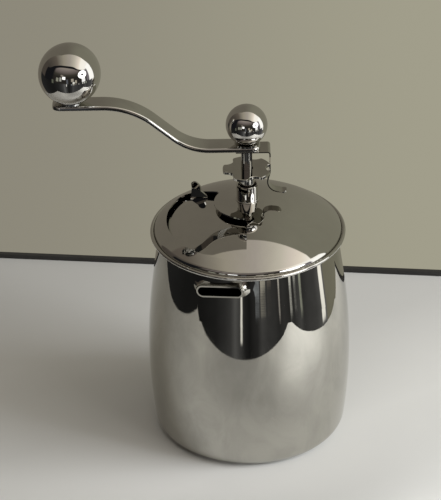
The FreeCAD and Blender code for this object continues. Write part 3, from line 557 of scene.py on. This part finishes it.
# each window's turns, heights, softness and shade; the later ones are the low ones that the can's neck shows
windowsLook = [
    ((-24, -13), (5, 15), 1.2, (2.2, 2.2, 2.2)), ((-34, -27), (-3, 11), 1.2, (0.55, 0.55, 0.5)),
    ((-47, -38), (-5, 8), 1.2, (0.37, 0.37, 0.3)), ((-31, -21), (15, 21), 1.2, (0.36, 0.32, 0.28)),
    ((-64, -57), (-15, -3), 1.2, (0.15, 0.16, 0.12)), ((-9, -3), (-12, 6), 1.2, (0.14, 0.15, 0.17)),
    ((8, 17), (-3, 8), 1.2, (0.55, 0.5, 0.42)), ((13, 20), (-11, -5), 1.2, (1.3, 1.3, 1.2)),
    ((22, 28), (-10, 1), 1.2, (0.6, 0.55, 0.45)), ((78, 100), (-14, 30), 1.2, (1.6, 1.6, 1.55)),
    ((47, 60), (-11, 8), 1.2, (1.5, 1.5, 1.5)),
    ((92.3, 98.5), (-23.5, -10), 0.6, (1.6, 1.58, 1.5)), ((-10, -8), (-20.5, -12), 0.7, (1.3, 1.28, 1.2)),
    ((7, 11.5), (-16.25, -12), 0.3, (0.3, 0.32, 0.34)), ((13, 19), (-16.25, -12), 0.35, (0.6, 0.57, 0.49)),
    ((21, 26), (-16.3, -12), 0.35, (0.18, 0.16, 0.14)), ((34.3, 35.9), (-17, -12), 0.5, (0.8, 0.76, 0.7)),
    ((48.3, 51), (-17.6, -12), 0.5, (1.1, 1.1, 1.03)), ((54.3, 57.2), (-17.7, -12), 0.5, (1, 1, 0.95)),
    ((61.6, 64.4), (-18.6, -12), 0.5, (0.55, 0.58, 0.48)),
]

# a round lamp at the right, dark in the middle; heart is that part of its size
roundLamp = dict(turn=52.5, height=14.5, halfAcross=16.5, halfUpright=12, soft=0.08, shade=(5.0, 5.0, 5.0),
                 heart=0.32, heartShade=(0.012, 0.012, 0.014))


def addRoundLamp(tree, sky, room):
    s = roundLamp
    across, upright = [
        mathNode(tree, "DIVIDE", mathNode(tree, "SUBTRACT", sky[way], s[way]), s[half])
        for way, half in (("turn", "halfAcross"), ("height", "halfUpright"))]
    fromMiddle = lengthNode(tree, across, upright)
    room = mixNode(tree, falls(tree, fromMiddle, 1.0, s["soft"]), room, rgba(s["shade"]))
    return mixNode(tree, falls(tree, fromMiddle, s["heart"], s["soft"]), room, rgba(s["heartShade"]))


# the wall behind the object: it rises to a plane of this slope over the table, outside the turns in front.
# across: from its left shade to its right one. seen: what the camera sees past the table
backWall = dict(
    slope=4.4, slopeSoft=0.04, turns=(-121, 101), turnSoft=1.5,
    across=(-0.16, 0.48), left=(0.184, 0.166, 0.133), right=(0.27, 0.26, 0.20),
    seenAcross=(-0.085, 0.085), seenLeft=(0.264, 0.247, 0.195), seenRight=(0.358, 0.342, 0.259))


def addBackWall(tree, sky, room):
    s = backWall
    over = mathNode(tree, "SUBTRACT", sky["z"], mathNode(tree, "MULTIPLY", sky["y"], s["slope"]))
    inFront = band(tree, sky["turn"], *s["turns"], s["turnSoft"])
    behind = mathNode(tree, "SUBTRACT", 1.0, inFront)
    isWall = mathNode(tree, "MULTIPLY", falls(tree, over, 0.0, s["slopeSoft"]), behind)
    wall, seen = [
        mixNode(tree, mapRange(tree, sky["x"], *s[across]), rgba(s[left]), rgba(s[right]))
        for across, left, right in (("across", "left", "right"), ("seenAcross", "seenLeft", "seenRight"))]
    path = tree.nodes.new("ShaderNodeLightPath")
    return mixNode(tree, path.outputs["Is Camera Ray"], mixNode(tree, isWall, room, wall), seen)


def makeRoom():
    world = bpy.data.worlds.new("room")
    bpy.context.scene.world = world
    world.use_nodes = True
    tree = world.node_tree
    tree.nodes.clear()
    sky = skyPlaces(tree)
    room = addWalls(tree, sky)
    for turns, heights, soft, shade in windowsLook:
        room = patchOn(tree, sky, room, turns, heights, soft, soft, shade)
    room = addRoundLamp(tree, sky, room)
    background = tree.nodes.new("ShaderNodeBackground")
    setInputs(tree, background, {"Color": addBackWall(tree, sky, room), "Strength": 1.0})
    out = tree.nodes.new("ShaderNodeOutputWorld")
    setInputs(tree, out, {"Surface": background.outputs[0]})


# places in metres, power in watts; the lamps don't show in the steel
softLamps = dict(
    windowLight=dict(place=(1.071, -0.307, 0.567), aim=(0, 0, 0.08), size=(0.62, 0.72), power=11.0,
                     tint=(0.97, 1.0, 1.05)),
    ceilingLight=dict(place=(-0.35, 0.15, 1.4), aim=(0, 0, 0), size=(1.2, 1.2), power=1.9,
                      tint=(1.0, 0.98, 0.95)))

# light that falls past the window's edge on the table at the right, which the can's side shows
sunPatch = dict(place=(0.9, -0.6, 1.2), middle=(0.19, -0.125, 0.0), radius=0.12, edge=1.0, power=48.0,
                bulb=0.02)


def hangLight(name, light, place, aim):
    lamp = bpy.data.objects.new(name, light)
    bpy.context.scene.collection.objects.link(lamp)
    lamp.location = place
    lamp.rotation_euler = (Vector(place) - Vector(aim)).to_track_quat("Z", "Y").to_euler()
    lamp.visible_glossy = False


def makeSoftLamp(name, place, aim, size, power, tint):
    light = bpy.data.lights.new(name, "AREA")
    light.shape = "RECTANGLE"
    light.size, light.size_y = size
    light.energy = power
    light.color = tint
    hangLight(name, light, place, aim)


def makeSunPatch():
    s = sunPatch
    distance = (Vector(s["place"]) - Vector(s["middle"])).length
    light = bpy.data.lights.new("sunPatch", "SPOT")
    light.energy = s["power"]
    light.spot_size = 2 * atan2(s["radius"], distance)
    light.spot_blend = s["edge"]
    light.shadow_soft_size = s["bulb"]
    hangLight("sunPatch", light, s["place"], s["middle"])


makeTable()
makePaintedGapShade()
makeRoom()
for name, look in softLamps.items():
    makeSoftLamp(name, **look)
makeSunPatch()
print("stage ready")


# aim and distance in mm, angles in degrees; the focal length is in pixels of a picture 500 pixels high
cameraLook = dict(aim=(-14.1, 0.0, 102.0), distance=1500.0, elevation=31.0, roll=1.0, focal=2933.0,
                  pictureHeight=500, sensor=36.0, clip=(0.05, 20.0))


def makeCamera():
    s = cameraLook
    data = bpy.data.cameras.new("camera")
    data.sensor_width = s["sensor"]
    data.lens = s["focal"] / s["pictureHeight"] * s["sensor"]
    data.clip_start, data.clip_end = s["clip"]
    camera = bpy.data.objects.new("camera", data)
    bpy.context.scene.collection.objects.link(camera)
    elevation = radians(s["elevation"])
    back = Vector((0, -cos(elevation), sin(elevation)))
    camera.location = Vector(s["aim"]) * mm + back * s["distance"] * mm
    level = (-back).to_track_quat("-Z", "Y").to_matrix()
    camera.rotation_euler = (level @ Matrix.Rotation(radians(-s["roll"]), 3, "Z")).to_euler()
    bpy.context.scene.camera = camera


makeCamera()
bpy.context.scene.view_settings.view_transform = "Standard"
print("camera set")
